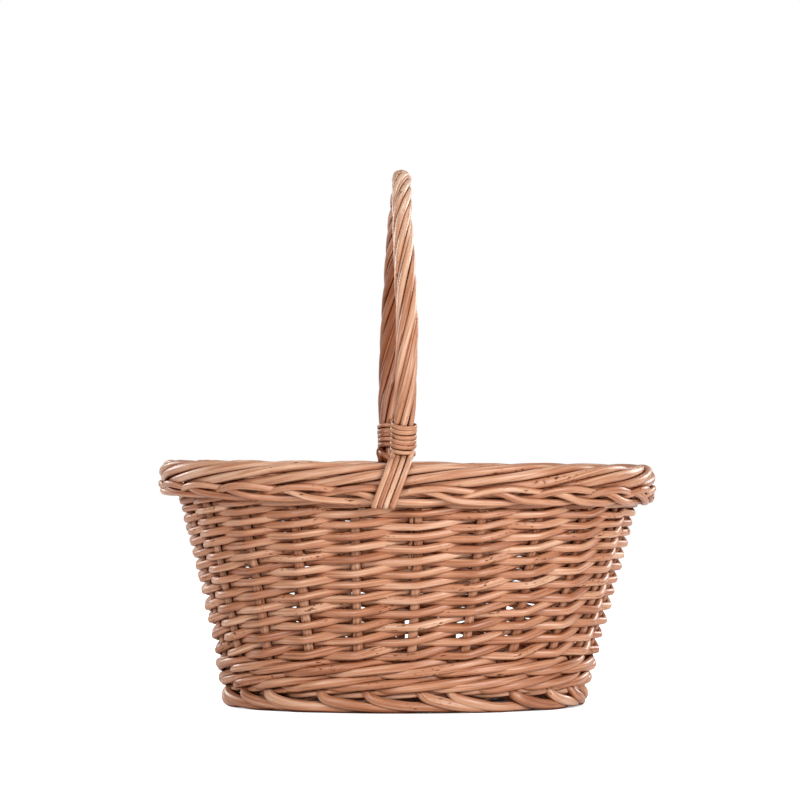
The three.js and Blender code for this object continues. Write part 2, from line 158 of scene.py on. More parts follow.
class Wall:
    """Places beside the oval line of the stakes, counted in stakes to the right of the front centre."""

    clearance = 0.0003
    roll_slack = 1.1  # room for each rod in the border roll, in rods
    roll_lay = 5.4  # stakes that a rod passes in one turn of the roll
    roll_entry = math.radians(-150)
    foot_reach = 0.010  # from the stakes' line to the outside of the foot border
    trac_drop = 0.0067  # from the middle of the roll down to the top of the trac
    trac_foot_drop = 0.0175  # from the middle of the roll down to the bottom of the trac

    def __init__(self, s):
        self.count = s.stake_count
        self.lean = s.stake_lean
        self.rim_length = s.rim_length
        self.rim_lean = s.rim_lean
        self.body_height = s.body_height
        self.sag = s.flare_sag
        self.foot_shift = s.foot_shift
        self.bow = s.wall_bow
        chord = self.roll_slack * (s.stake + self.clearance)
        self.roll_radius = chord / (2 * math.sin(math.pi / self.roll_lay))
        self.roll_reach = self.roll_radius + s.stake / 2
        self.roll_height = s.body_height - self.roll_reach
        self.roll_offset = -self.roll_radius * math.cos(self.roll_entry)
        self.roll_edge = self.roll_offset + self.roll_reach
        self.foot_axes = np.array((s.foot_length, s.foot_width)) / 2 - self.foot_reach
        self.rim_axes = np.array((s.rim_length, s.rim_width)) / 2 - self.roll_edge
        self.upsett_top = UPSETT_HIGH.z
        self.trac_top = self.roll_height - self.trac_drop
        self.trac_bottom = self.roll_height - self.trac_foot_drop

    def axes(self, level):
        up = level / self.roll_height
        sag = 4 * self.sag * up * (1 - up)
        low, high = self.foot_axes, self.rim_axes
        return low[0] + (high[0] - low[0]) * up - sag, low[1] + (high[1] - low[1]) * up - sag

    def place(self, stake, out, z, level=None):
        """Points and outward directions for arrays of stake counts, offsets and heights."""
        stake, out, z = np.broadcast_arrays(*(np.asarray(v, float) for v in (stake, out, z)))
        level = z if level is None else np.broadcast_to(np.asarray(level, float), z.shape)
        a, b = self.axes(level)
        turn = 2 * math.pi * (stake + self.lean * (level / self.roll_height - 0.5)) / self.count
        facing = np.column_stack((b * np.sin(turn), -a * np.cos(turn), np.zeros_like(turn)))
        facing /= np.linalg.norm(facing, axis=1)[:, None]
        points = np.column_stack((a * np.sin(turn), -b * np.cos(turn), z)) + facing * out[:, None]
        up = np.maximum(0, (z - self.upsett_top) / (self.body_height - self.upsett_top))
        points[:, 2] -= self.rim_lean * up * points[:, 0] / self.rim_length
        risen = level / self.roll_height
        points[:, 0] += 4 * self.bow * risen * (1 - risen) - self.foot_shift * (1 - risen)
        return points, facing

    def beside_centre(self, side, left, out, z, level):
        """Like place, but measured to the left of the front or back centre stake."""
        spacing = 2 * self.axes(level)[0] * math.sin(math.pi / self.count)
        shift = np.asarray(left, float) / spacing
        stake = -shift if side < 0 else self.count / 2 + shift
        return self.place(stake, out, z, level)

    def roll_place(self, stake, past, radius, turned=0.0):
        """Points on the border roll, and directions away from its middle."""
        angle = self.roll_entry + 2 * math.pi * past / self.roll_lay + turned
        out = self.roll_offset + radius * np.cos(angle)
        z = self.roll_height + radius * np.sin(angle)
        points, facing = self.place(stake + past, out, z, self.roll_height)
        upward = np.array((0.0, 0.0, 1.0))
        return points, facing * np.cos(angle)[:, None] + upward * np.sin(angle)[:, None]


def along_keys(keys, count):
    """Evenly spaced samples of a smooth line through rows of key values."""
    keys = np.array(keys, float)
    at = np.linspace(0, len(keys) - 1, count)
    i = np.clip(at.astype(int), 0, len(keys) - 2)
    t = (at - i)[:, None]
    slope = np.gradient(keys, axis=0)
    start = (2 * t**3 - 3 * t**2 + 1) * keys[i] + (t**3 - 2 * t**2 + t) * slope[i]
    return start + (3 * t**2 - 2 * t**3) * keys[i + 1] + (t**3 - t**2) * slope[i + 1]


def wander(rng, places, size):
    """Slow uneven drift along a rod."""
    drift = np.zeros(len(places))
    for wave in (1, 2, 3):
        drift += np.sin(wave * rng.uniform(0.6, 1.4) * places + rng.uniform(0, 2 * math.pi)) / wave
    return size * drift / 1.4


def unit_rows(rows):
    return rows / np.linalg.norm(rows, axis=1)[:, None]


def squared_off(wave, power):
    """The wave with fuller shoulders, for powers below one."""
    return np.sign(wave) * np.abs(wave)**power


def add_object(name, data):
    obj = bpy.data.objects.new(name, data)
    bpy.context.scene.collection.objects.link(obj)
    return obj


STRAIGHT_RODS = {}


def straight_rod(steps, sides):
    """A closed straight rod of unit radius with a ring of vertices at every step."""
    if (steps, sides) in STRAIGHT_RODS:
        return STRAIGHT_RODS[steps, sides]
    bm = bmesh.new()
    ring = bmesh.ops.create_circle(bm, cap_ends=True, segments=sides, radius=1)["verts"]
    edges = list({edge for vert in ring for edge in vert.link_edges})
    grown = bmesh.ops.spin(bm, geom=ring + edges, axis=(0, 0, 1), dvec=(0, 0, 1), angle=0, steps=steps)
    rim = [edge for edge in grown["geom_last"] if isinstance(edge, bmesh.types.BMEdge)]
    bmesh.ops.contextual_create(bm, geom=rim)
    bmesh.ops.recalc_face_normals(bm, faces=bm.faces)
    for face in bm.faces:
        face.smooth = len(face.verts) == 4
    mesh = bpy.data.meshes.new("straight_rod")
    bm.to_mesh(mesh)
    bm.free()
    STRAIGHT_RODS[steps, sides] = mesh
    return mesh


class RodMesh:
    """Rods bent along lines, gathered in one mesh with their grain and tone."""

    roundness = 0.8
    middle_tone = 0.46
    tone_spread = 0.65
    grain_shift = 9  # largest shift between the grain of two rods

    def __init__(self, seed):
        self.bm = bmesh.new()
        self.places, self.grains, self.tones = [], [], []
        self.rng = np.random.default_rng(seed)

    def bend(self, points, facing, thick, wide, sides=10, shade=0.0, slant=0.6):
        """Lays a rod along points; thick is its size along facing, wide its size square to it.

        Shade makes it paler or browner than chance does; the callers use it to paint light and shade."""
        straight = straight_rod(len(points) - 1, sides)
        self.bm.from_mesh(straight)
        ring = np.empty(3 * len(straight.vertices))
        straight.vertices.foreach_get("co", ring)
        ring = ring.reshape(-1, 3)
        step = np.rint(ring[:, 2]).astype(int)
        thick = np.broadcast_to(thick, len(points))[step] / 2
        wide = np.broadcast_to(wide, len(points))[step] / 2
        heading = unit_rows(np.gradient(points, axis=0))
        outward = unit_rows(facing - heading * (facing * heading).sum(1)[:, None])
        across = np.cross(heading, outward)
        section = squared_off(ring[:, :2], self.roundness)
        x, y = section[:, 0] * thick, section[:, 1] * wide
        place = points[step] + outward[step] * x[:, None] + across[step] * y[:, None]
        cut = np.where(step == 0, -slant, np.where(step == len(points) - 1, slant, 0))
        place += heading[step] * (cut * x)[:, None]
        run = np.concatenate(([0], np.cumsum(np.linalg.norm(np.diff(points, axis=0), axis=1))))
        self.places.append(place)
        self.grains.append(np.column_stack((x, y, run[step])) + self.rng.uniform(0, self.grain_shift, 3))
        tone = self.middle_tone + self.tone_spread * self.rng.uniform(-0.5, 0.5) + np.asarray(shade)
        self.tones.append(np.broadcast_to(tone, len(points))[step])

    def piece(self, name, slot, nodes):
        """Turns the rods into one object that stands for CAD nodes."""
        mesh = bpy.data.meshes.new(name)
        self.bm.to_mesh(mesh)
        self.bm.free()
        mesh.vertices.foreach_set("co", np.concatenate(self.places).ravel())
        grain = mesh.attributes.new("grain", "FLOAT_VECTOR", "POINT")
        grain.data.foreach_set("vector", np.concatenate(self.grains).ravel())
        tone = mesh.attributes.new("tone", "FLOAT", "POINT")
        tone.data.foreach_set("value", np.concatenate(self.tones))
        mesh.update()
        mesh.materials.append(willow(slot))
        obj = add_object(name, mesh)
        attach(obj, "root")
        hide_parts(*nodes)


def new_node(tree, kind, **values):
    """Adds a node; values name its settings or its input sockets."""
    node = tree.nodes.new(kind)
    for key, value in values.items():
        if hasattr(node, key):
            setattr(node, key, value)
        else:
            node.inputs[key].default_value = value
    return node


def scaled_noise(tree, coordinates, scale, detail):
    """Noise drawn out along a rod by scaling its grain coordinates."""
    stretch = new_node(tree, "ShaderNodeVectorMath", operation="MULTIPLY")
    stretch.inputs[1].default_value = scale
    tree.links.new(coordinates, stretch.inputs[0])
    noise = new_node(tree, "ShaderNodeTexNoise", Scale=1.0, Detail=detail, Roughness=0.6)
    tree.links.new(stretch.outputs[0], noise.inputs["Vector"])
    return noise.outputs["Fac"]


def remap(tree, value, low, high, to_low=0.0, to_high=1.0):
    node = new_node(tree, "ShaderNodeMapRange")
    node.inputs["From Min"].default_value = low
    node.inputs["From Max"].default_value = high
    node.inputs["To Min"].default_value = to_low
    node.inputs["To Max"].default_value = to_high
    tree.links.new(value, node.inputs["Value"])
    return node.outputs["Result"]


def combine(tree, operation, first, second):
    node = new_node(tree, "ShaderNodeMath", operation=operation)
    for socket, value in zip(node.inputs, (first, second)):
        if isinstance(value, (int, float)):
            socket.default_value = value
        else:
            tree.links.new(value, socket)
    return node.outputs[0]


def blend_colour(tree, factor, first, second):
    node = new_node(tree, "ShaderNodeMix", data_type="RGBA")
    tree.links.new(factor, node.inputs[0])
    tree.links.new(first, node.inputs[6])
    tree.links.new(second, node.inputs[7])
    return node.outputs[2]


def willow_grain_and_shade():
    """Node group: streaks, blotches and specks that run along each rod, and painted shade in the grooves
    between rods.
    """
    name = "Willow grain"
    if name in bpy.data.node_groups:
        return bpy.data.node_groups[name]
    tree = bpy.data.node_groups.new(name, "ShaderNodeTree")
    for colour in COLOURS:
        tree.interface.new_socket(colour, in_out="INPUT", socket_type="NodeSocketColor")
    tree.interface.new_socket("Color", in_out="OUTPUT", socket_type="NodeSocketColor")
    for value in ("Roughness", "Gloss", "Height"):
        tree.interface.new_socket(value, in_out="OUTPUT", socket_type="NodeSocketFloat")
    given = new_node(tree, "NodeGroupInput")
    result = new_node(tree, "NodeGroupOutput")
    grain = new_node(tree, "ShaderNodeAttribute", attribute_name="grain").outputs["Vector"]
    tone = new_node(tree, "ShaderNodeAttribute", attribute_name="tone").outputs["Fac"]
    streak = scaled_noise(tree, grain, STREAKS, 4.0)
    blotch = scaled_noise(tree, grain, BLOTCHES, 2.0)
    dots = scaled_noise(tree, grain, DOTS, 1.0)
    patches = scaled_noise(tree, grain, PATCHES, 1.0)
    specks = combine(
        tree, "MULTIPLY", remap(tree, dots, 0.60, 0.68), remap(tree, patches, 0.56, 0.66))
    lightness = combine(tree, "ADD", remap(tree, streak, 0.3, 0.7, -0.65, 0.65), tone)
    lightness = combine(tree, "ADD", lightness, remap(tree, blotch, 0.3, 0.7, -0.35, 0.35))
    colour = blend_colour(
        tree, remap(tree, lightness, -0.3, 0.5), given.outputs["Brown"], given.outputs["Tan"])
    colour = blend_colour(tree, remap(tree, lightness, 0.5, 1.4), colour, given.outputs["Pale"])
    colour = blend_colour(tree, remap(tree, specks, 0.0, 1.0, 0.0, 0.8), colour, given.outputs["Speck"])
    # Painted shade: the colour turns dark red-brown where ambient occlusion finds nearby rods, darkening
    # the grooves
    nearby = new_node(tree, "ShaderNodeAmbientOcclusion", samples=8, Distance=PAINTED_SHADE_REACH).outputs["AO"]
    painted_shade_mask = remap(tree, nearby, 0.15, 0.80, 1.0, 0.0)
    colour = blend_colour(tree, painted_shade_mask, colour, given.outputs["Crevice"])
    tree.links.new(colour, result.inputs["Color"])
    rough = remap(tree, streak, 0.3, 0.7, 0.34, 0.5)
    rough = combine(tree, "ADD", rough, combine(tree, "MULTIPLY", specks, 0.2))
    tree.links.new(rough, result.inputs["Roughness"])
    # The gloss also fades where rods crowd each other, painted shade on the reflections; specks dull it
    # too
    gloss = combine(tree, "SUBTRACT", remap(tree, nearby, 0.4, 0.95, 0.0, 0.36), specks)
    tree.links.new(combine(tree, "MAXIMUM", gloss, 0.0), result.inputs["Gloss"])
    tree.links.new(streak, result.inputs["Height"])
    return tree


def linear(colour):
    return (*Color(colour).from_srgb_to_scene_linear(), 1.0)


def willow(slot):
    """The slot's varnished willow; its shade darkens all its colours."""
    name, shade = WILLOWS[slot]
    if name in bpy.data.materials:
        return bpy.data.materials[name]
    colours = bpy.context.scene.willow_colours
    material = bpy.data.materials.new(name)
    material.use_nodes = True
    tree = material.node_tree
    shader = tree.nodes["Principled BSDF"]
    shader.inputs["Coat Roughness"].default_value = VARNISH_ROUGHNESS
    group = new_node(tree, "ShaderNodeGroup", node_tree=willow_grain_and_shade())
    for socket in COLOURS:
        colour = getattr(colours, socket.lower())
        group.inputs[socket].default_value = linear([shade * value for value in colour])
    bump = new_node(tree, "ShaderNodeBump", Strength=0.35, Distance=GRAIN_RELIEF)
    for output, socket in (
            ("Color", "Base Color"), ("Roughness", "Roughness"),
            ("Gloss", "Specular IOR Level"), ("Gloss", "Coat Weight")):
        tree.links.new(group.outputs[output], shader.inputs[socket])
    tree.links.new(group.outputs["Height"], bump.inputs["Height"])
    tree.links.new(bump.outputs["Normal"], shader.inputs["Normal"])
    return material


def base_crown(along, across):
    """How far the base falls below its middle, at shares of its half length and half width."""
    return CROWN_FALL * (np.square(along) + np.square(across)) - CROWN_RISE


class BASKET_OT_base_slath(bpy.types.Operator):
    """Lay the cross of sticks under the base"""

    bl_idname = "basket.base_slath"
    bl_label = "Base slath"

    cross_sticks = 5
    long_sticks = 3
    long_spacing = 0.013
    long_share = 0.98  # thickness of a long stick as a share of a cross stick's
    slant = 0.1

    def execute(self, context):
        s, wall, rods = sizes(), Wall(sizes()), RodMesh(seed=11)
        low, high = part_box("base_slath")
        middle = (low.z + high.z) / 2
        steps = np.linspace(-1, 1, 12)
        upward = np.tile((0.0, 0.0, 1.0), (len(steps), 1))
        reach = np.array((high.x, high.y))
        for i in range(self.cross_sticks):
            turn = 2 * math.pi * (i - (self.cross_sticks - 1) / 2) / wall.count
            x = wall.axes(BASE_LOW.z)[0] * math.sin(turn)
            half = reach[1] * math.sqrt(1 - (x / reach[0])**2)
            z = middle - base_crown(x / reach[0], half * steps / reach[1])
            points = np.column_stack((np.full_like(steps, x) - s.foot_shift, half * steps, z))
            rods.bend(points, upward, s.base_stick, s.base_stick, slant=self.slant)
        for i in range(self.long_sticks):
            y = self.long_spacing * (i - (self.long_sticks - 1) / 2)
            half = reach[0] * math.sqrt(1 - (y / reach[1])**2)
            z = middle - base_crown(half * steps / reach[0], y / reach[1])
            points = np.column_stack((half * steps - s.foot_shift, np.full_like(steps, y), z))
            size = s.base_stick * self.long_share
            rods.bend(points, upward, size, size, slant=self.slant)
        rods.piece("base_sticks", "stake_willow", ["base_slath"])
        return {"FINISHED"}


class BASKET_OT_base_weave(bpy.types.Operator):
    """Pair the base weavers round the slath"""

    bl_idname = "basket.base_weave"
    bl_label = "Base weave"

    rounds = 12
    ribs = 16
    inner_axes = (0.050, 0.019)
    press = 0.95
    wrap_turns = 3
    wrap_pass = 0.1  # share of the wrap between two gaps that passes a cross stick
    wrap_flat = 0.8
    wrap_wide = 1.02

    def wrap(self, s, rods, middle):
        """Winds a weaver round the long sticks, three turns in each gap between the cross sticks."""
        gap = Wall(s).axes(BASE_LOW.z)[0] * math.sin(2 * math.pi / s.stake_count)
        room = gap - s.base_stick - s.base_weaver
        gaps = BASKET_OT_base_slath.cross_sticks + 1
        starts = gap * (np.arange(gaps) - gaps / 2) + (gap - room) / 2
        along = np.ravel(np.column_stack((starts, starts + room)))
        counts = np.ravel(np.column_stack((np.arange(gaps), np.arange(gaps) + 1 - self.wrap_pass)))
        turns = np.linspace(0, gaps - self.wrap_pass, TURN_STEPS * self.wrap_turns * gaps)
        angle = 2 * math.pi * self.wrap_turns * turns
        half_width = BASKET_OT_base_slath.long_spacing + s.base_stick / 2
        half_height = (s.base_stick + s.base_weaver) / 2
        x = np.interp(turns, counts, along)
        y = half_width * squared_off(np.cos(angle), 0.7)
        z = middle + half_height * squared_off(np.sin(angle), 0.5)
        z = z - base_crown(x / BASE_HIGH.x, y / BASE_HIGH.y)
        points = np.column_stack((x - s.foot_shift, y, z))
        facing = np.column_stack((np.zeros_like(x), np.cos(angle) * 0.3, np.sin(angle)))
        rods.bend(points, facing, s.base_weaver * self.wrap_flat, s.base_weaver * self.wrap_wide, sides=8)

    def execute(self, context):
        s, rods = sizes(), RodMesh(seed=12)
        slath_low, slath_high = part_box("base_slath")
        middle = (slath_low.z + slath_high.z) / 2
        swing = (s.base_stick + s.base_weaver) / 2 * self.press
        inner = np.array(self.inner_axes)
        outer = np.array((BASE_HIGH.x, BASE_HIGH.y)) - s.base_weaver / 2
        turns = np.linspace(0, self.rounds, self.rounds * self.ribs * 5)
        for side in (0, 1):
            axes = inner + (outer - inner) * (turns[:, None] / self.rounds)
            angle = 2 * math.pi * turns
            lift = np.cos(math.pi * self.ribs * turns + math.pi * side)
            points = np.column_stack((
                axes[:, 0] * np.sin(angle), -axes[:, 1] * np.cos(angle), middle + swing * lift))
            points[:, 2] -= base_crown(points[:, 0] / slath_high.x, points[:, 1] / slath_high.y)
            points[:, 0] -= s.foot_shift
            facing = np.column_stack((np.sin(angle), -np.cos(angle), np.zeros_like(angle)))
            thickness = s.base_weaver * (1 + wander(rods.rng, 40 * turns, 0.06))
            rods.bend(points, facing, thickness, thickness, sides=8)
        self.wrap(s, rods, middle)
        rods.piece("base_pairing", "weaver_willow", ["base_weave"])
        return {"FINISHED"}


class BASKET_OT_foot_border(bpy.types.Operator):
    """Turn the foot rods down under the upsett"""

    bl_idname = "basket.foot_border"
    bl_label = "Foot border"

    scatter = 0.27  # in stakes
    size_range = (0.9, 1.06)

    def execute(self, context):
        s, wall, rods = sizes(), Wall(sizes()), RodMesh(seed=13)
        r = s.foot_rod / 2
        top = FOOT_HIGH.z
        for k in range(wall.count):
            start = k + rods.rng.uniform(-self.scatter, self.scatter)
            # Stakes past the start, offset outward, height, share of the rod's thickness
            keys = [
                (-0.06, -0.0034, top + 0.0030, 0.80),
                (0.02, 0.0008, top + 0.0014, 0.90),
                (0.14, 0.0036, top - 0.0020, 0.98),
                (0.45, 0.0044, r + 0.0034, 1.03),
                (0.95, 0.0038, r + 0.0008, 1.00),
                (1.50, 0.0022, r + 0.0000, 0.96),
                (1.95, -0.0002, r - 0.0004, 0.88),
                (2.40, -0.0034, r - 0.0004, 0.78),
                (2.80, -0.0066, r + 0.0006, 0.66),
            ]
            line = along_keys(keys, 40)
            size = s.foot_rod * rods.rng.uniform(*self.size_range) * line[:, 3]
            z = np.maximum(line[:, 2] + wander(rods.rng, line[:, 0] * 2, 0.0005), size / 2)
            points, facing = wall.place(start + line[:, 0], line[:, 1], z)
            rods.bend(points, facing, size, size, sides=14)
        rods.piece("foot_rods", "stake_willow", ["foot_border"])
        return {"FINISHED"}


class BASKET_OT_stakes(bpy.types.Operator):
    """Set up the stakes and lay their tops in the border roll"""

    bl_idname = "basket.stakes"
    bl_label = "Stakes and border roll"

    butt = 0.013
    flat = 0.78
    flat_fade = 0.010
    bend_drop = 0.004
    # Stakes past its own where a top joins the roll, is full, begins to thin and ends
    roll = (0.45, 1.2, 3.6, 4.5)
    tip_share = 0.7
    # How much paler the top of the border roll is: painted light from above
    roll_painted_light = 0.25

    def execute(self, context):
        s, wall = sizes(), Wall(sizes())
        butt_z = FOOT_HIGH.z + wall.clearance + s.stake / 2
        bend_z = wall.roll_height - wall.roll_radius - self.bend_drop
        for k in range(wall.count):
            rods = RodMesh(seed=100 + k)
            keys = [
                (-self.butt, butt_z), (-0.6 * self.butt, butt_z),
                (-0.25 * s.stake, butt_z + 0.25 * s.stake), (0, butt_z + s.stake)]
            keys += [(0, z) for z in np.linspace(butt_z + 2 * s.stake, bend_z, 12)]
            wall_line = along_keys(keys, 60)
            sway = wander(rods.rng, wall_line[:, 1] * 40, 0.012)
            wall_points, wall_facing = wall.place(k + sway, wall_line[:, 0], wall_line[:, 1])
            past = np.linspace(self.roll[0], self.roll[-1], 60)
            radius = wall.roll_radius * (1 + wander(rods.rng, past, 0.06))
            roll_points, roll_facing = wall.roll_place(k, past, radius, wander(rods.rng, past, 0.13))
            points = np.vstack((wall_points, roll_points))
            facing = np.vstack((wall_facing, roll_facing))
            bend = slice(len(wall_points) - 6, len(wall_points) + 8)
            ends = points[[bend.start, bend.start + 3, bend.stop - 4, bend.stop - 1]]
            points[bend] = along_keys(ends, bend.stop - bend.start)
            roll_sizes = (s.stake, s.border_rod, s.border_rod, self.tip_share * s.border_rod)
            roll_size = np.interp(past, self.roll, roll_sizes)
            size = np.concatenate((np.full(len(wall_points), s.stake), roll_size))
            size = size * (1 + wander(rods.rng, np.linspace(0, 14, len(size)), 0.07))
            flat = np.interp(points[:, 2], (bend_z - self.flat_fade, bend_z), (self.flat, 1.0))
            # Painted light: each stake grows paler from the bend up to the top of the border
            pale = np.interp(points[:, 2], (bend_z, wall.body_height), (0, self.roll_painted_light))
            rods.bend(points, facing, size * flat, size * (2 - flat)**0.7, shade=pale)
            rods.piece(numbered("stake_rod", k), "stake_willow", [numbered("stake", k)])
        return {"FINISHED"}


def half_stake(s):
    """From the middle of a stake to its flattened face."""
    return BASKET_OT_stakes.flat * s.stake / 2


class BASKET_OT_upsett(bpy.types.Operator):
    """Wale three rounds round the foot of the stakes"""

    bl_idname = "basket.upsett"
    bl_label = "Upsett"

    strands = 3
    # Height above the foot border, share of a wale rod's thickness, inset
    rounds = ((0.0020, 0.70, 0.0040), (0.0074, 0.92, 0.0), (0.0168, 0.94, 0.0))
    rise = 0.68
    press = 0.42

    def execute(self, context):
        s, wall, rods = sizes(), Wall(sizes()), RodMesh(seed=15)
        seam = wall.count / 2
        for height, share, inset in self.rounds:
            rod = s.wale_rod * share
            reach = half_stake(s) + rod * self.press
            rise = self.rise * rod
            # A key for each half stake: behind one stake, then in front of two
            stroke = [
                (-reach, 0.0), (0.0006, -rise), (reach + 0.0006, -0.60 * rise),
                (reach + 0.0004, 0.0), (reach - 0.0014, 0.58 * rise), (-0.0008, rise)]
            strokes = (wall.count - 1) // self.strands
            for strand in range(self.strands):
                keys = stroke * strokes + [stroke[0], (-reach, 0.0)]
                line = along_keys(keys, 5 * len(keys))
                count = np.linspace(0, len(keys) / 2 - 0.5, len(line))
                z = FOOT_HIGH.z + height + line[:, 1] + wander(rods.rng, count, 0.0006)
                points, facing = wall.place(seam + strand + count, line[:, 0] - inset, z)
                size = rod * (1 + wander(rods.rng, count * 0.7, 0.12))
                rods.bend(points, facing, size * 0.86, size * 1.04)
        rods.piece("upsett_rods", "weaver_willow", ["upsett_wale"])
        return {"FINISHED"}


class BASKET_OT_siding(bpy.types.Operator):
    """Rand the weavers up the wall"""

    bl_idname = "basket.siding"
    bl_label = "Siding"

    extra_passes = 5
    tail = 0.3  # in stakes
    start_drop = 0.0050
    pitch = 0.00953
    closing = 0.00025  # how much the pitch closes with each row
    lift = 0.82  # behind a stake, in half rows
    right_lift = 0.25  # more at the right end, less at the left
    kink = 0.99
    back_rise = 0.0040
    flat = 0.78
    press = 0.48
    fullness = (0.80, 0.97, 1.11)  # width in front of a stake, beside it and behind it

    def execute(self, context):
        s, wall = sizes(), Wall(sizes())
        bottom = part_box("weaver_01")[0].z - self.start_drop
        passes = wall.count + self.extra_passes
        count = np.linspace(-self.tail, passes + self.tail, 12 * passes)
        rows = count / 2
        behind = 0.5 + 0.5 * np.arcsin(self.kink * np.cos(math.pi * count)) / math.asin(self.kink)
        swing = 1 - 2 * behind
        fullness = np.interp(behind, (0, 0.5, 1), self.fullness)
        for k in range(wall.count):
            rods = RodMesh(seed=200 + k)
            size = s.weaver_butt + (s.weaver_tip - s.weaver_butt) * np.clip(count / passes, 0, 1)
            size = size * (1 + wander(rods.rng, count * 0.8, 0.08))
            out = swing * (half_stake(s) + size * self.flat * self.press) + wander(rods.rng, count, 0.0002)
            stake = k - 1 + count
            turn = 2 * math.pi * stake / wall.count
            lift = (self.pitch - self.closing * rows) / 2 * (self.lift + self.right_lift * np.sin(turn))
            z = bottom + rows * (self.pitch - self.closing * rows / 2) + lift * behind
            share = np.clip(rows / rows[-1], 0, 1)
            farness = 0.5 - 0.5 * np.cos(turn)
            z = z + self.back_rise * np.sin(math.pi * share) * farness + wander(rods.rng, count, 0.0008)
            points, facing = wall.place(stake, out, z)
            rods.bend(points, facing, size * self.flat, size * fullness)
            rods.piece(numbered("siding_weaver", k), "weaver_willow", [numbered("weaver", k)])
        return {"FINISHED"}


class BASKET_OT_trac(bpy.types.Operator):
    """Plait the trac under the border roll"""

    bl_idname = "basket.trac"
    bl_label = "Border trac"

    left_rise = 0.0045
    scatter = 0.07  # in stakes

    def execute(self, context):
        s, wall, rods = sizes(), Wall(sizes()), RodMesh(seed=17)
        bottom, top = wall.trac_bottom, wall.trac_top
        edge = wall.roll_edge
        r = s.trac_rod / 2
        for k in range(wall.count):
            start = k + rods.rng.uniform(-self.scatter, self.scatter)
            # Stakes past the start, offset outward, height
            keys = [
                (-0.35, 0.0015, top - 0.0012),
                (-0.10, edge - 0.0066, top - 0.0016),
                (0.15, edge - 0.0026, top - 0.0036),
                (0.45, edge - 0.0028, bottom + r + 0.0012),
                (0.80, edge - 0.0050, bottom + r + 0.0000),
                (1.15, edge - 0.0076, bottom + r - 0.0002),
                (1.50, edge - 0.0070, bottom + r + 0.0018),
                (1.80, edge - 0.0040, top - 0.0036),
                (2.05, edge - 0.0016, top - 0.0014),
                (2.35, edge - 0.0014, top - 0.0006),
                (2.70, edge - 0.0040, top - 0.0020),
                (3.05, edge - 0.0080, top - 0.0040),
                (3.35, 0.0010, top - 0.0046),
            ]
            line = along_keys(keys, 60)
            z = line[:, 2] + wander(rods.rng, line[:, 0] * 2, 0.0004)
            left = np.maximum(0, -np.sin(2 * math.pi * (start + line[:, 0]) / wall.count))
            z = z + self.left_rise * left**2 * (top - line[:, 2]) / (top - bottom)
            points, facing = wall.place(start + line[:, 0], line[:, 1], z, wall.roll_height)
            size = s.trac_rod * (1 + wander(rods.rng, line[:, 0], 0.08))
            rods.bend(points, facing, size * 0.92, size * 1.06)
        rods.piece("trac_rods", "weaver_willow", ["border_trac"])
        return {"FINISHED"}


class Arch:
    """The handle's middle line, and places round it."""

    rods = 8
    offset = 0.0085
    inset = 0.006
    foot_rise = 0.0022
    spread = 0.012
    shoulder = 0.055
    fullness = 0.42
    lean = 0.22
    # Heights, and how far each leg stands to the right there
    front_lean = ((0.150, 0.245, 0.266, 0.295, 0.309, 0.326, 0.346),
                  (0, 0.0029, 0.0025, 0.0022, 0.0020, 0.0028, 0.0047))
    back_lean = ((0.150, 0.200, 0.290, 0.318, 0.334, 0.346),
                 (0.0026, 0.0012, 0.0041, 0.0047, 0.0056, 0.0047))
    # Shares of the way from the crown to a foot, and of the full thickness there
    slimming = ((0, 0.25, 0.6), (0.88, 0.91, 1.0))

    def __init__(self, s, wall):
        self.ring = s.roping_rod / (2 * math.sin(math.pi / self.rods))
        self.reach = self.ring + s.roping_rod / 2
        foot_z = wall.body_height + self.foot_rise
        half = wall.rim_axes[1] - self.inset
        top = s.overall_height - self.reach * self.slimming[1][0]
        third = self.shoulder / 3
        widest = half + self.spread
        high = foot_z + self.shoulder
        rising = high + (top - high) * self.fullness
        leaving = (half + self.lean * third, foot_z + third)
        leg = [(half, foot_z), leaving, (widest, high - third), (widest, high)]
        crown = [(widest, high), (widest, rising), (widest * self.fullness, top), (0, top)]
        t = np.linspace(0, 1, 200)[:, None]
        back = np.vstack([self.bezier(np.array(corners), t) for corners in (leg, crown)])
        line = np.vstack((back * (-1, 1), back[::-1]))
        step = np.linalg.norm(np.diff(line, axis=0), axis=1)
        keep = np.concatenate(([True], step > 1e-9))
        self.line = line[keep]
        self.run = np.concatenate(([0], np.cumsum(np.linalg.norm(np.diff(self.line, axis=0), axis=1))))
        self.length = self.run[-1]

    @staticmethod
    def bezier(p, t):
        u = 1 - t
        return u**3 * p[0] + 3 * u**2 * t * p[1] + 3 * u * t**2 * p[2] + t**3 * p[3]

    def at(self, run):
        """Points and directions along the arch at distances from its front foot."""
        nudge = self.length / 400
        inner = np.clip(run, nudge, self.length - nudge)
        line = [self.on_line(inner + step) for step in (-nudge, 0, nudge)]
        heading = unit_rows(line[2] - line[0])
        return line[1] + heading * (run - inner)[:, None], heading

    def on_line(self, run):
        y = np.interp(run, self.run, self.line[:, 0])
        z = np.interp(run, self.run, self.line[:, 1])
        tilt = np.where(y < 0, np.interp(z, *self.front_lean), np.interp(z, *self.back_lean))
        return np.column_stack((tilt - self.offset, y, z))

    def slim(self, run):
        """Share of the full thickness left toward the top of the arch."""
        return np.interp(np.abs(2 * run / self.length - 1), *self.slimming)

    def around(self, run, radius, turn):
        """Points on a ring round the arch, the turn counted from its outside toward the right."""
        points, heading = self.at(run)
        sideways = np.array((1.0, 0.0, 0.0))
        outward = np.cross(np.tile(sideways, (len(points), 1)), heading)
        facing = outward * np.cos(turn)[:, None] + sideways * np.sin(turn)[:, None]
        return points + facing * np.reshape(radius, (-1, 1)), facing


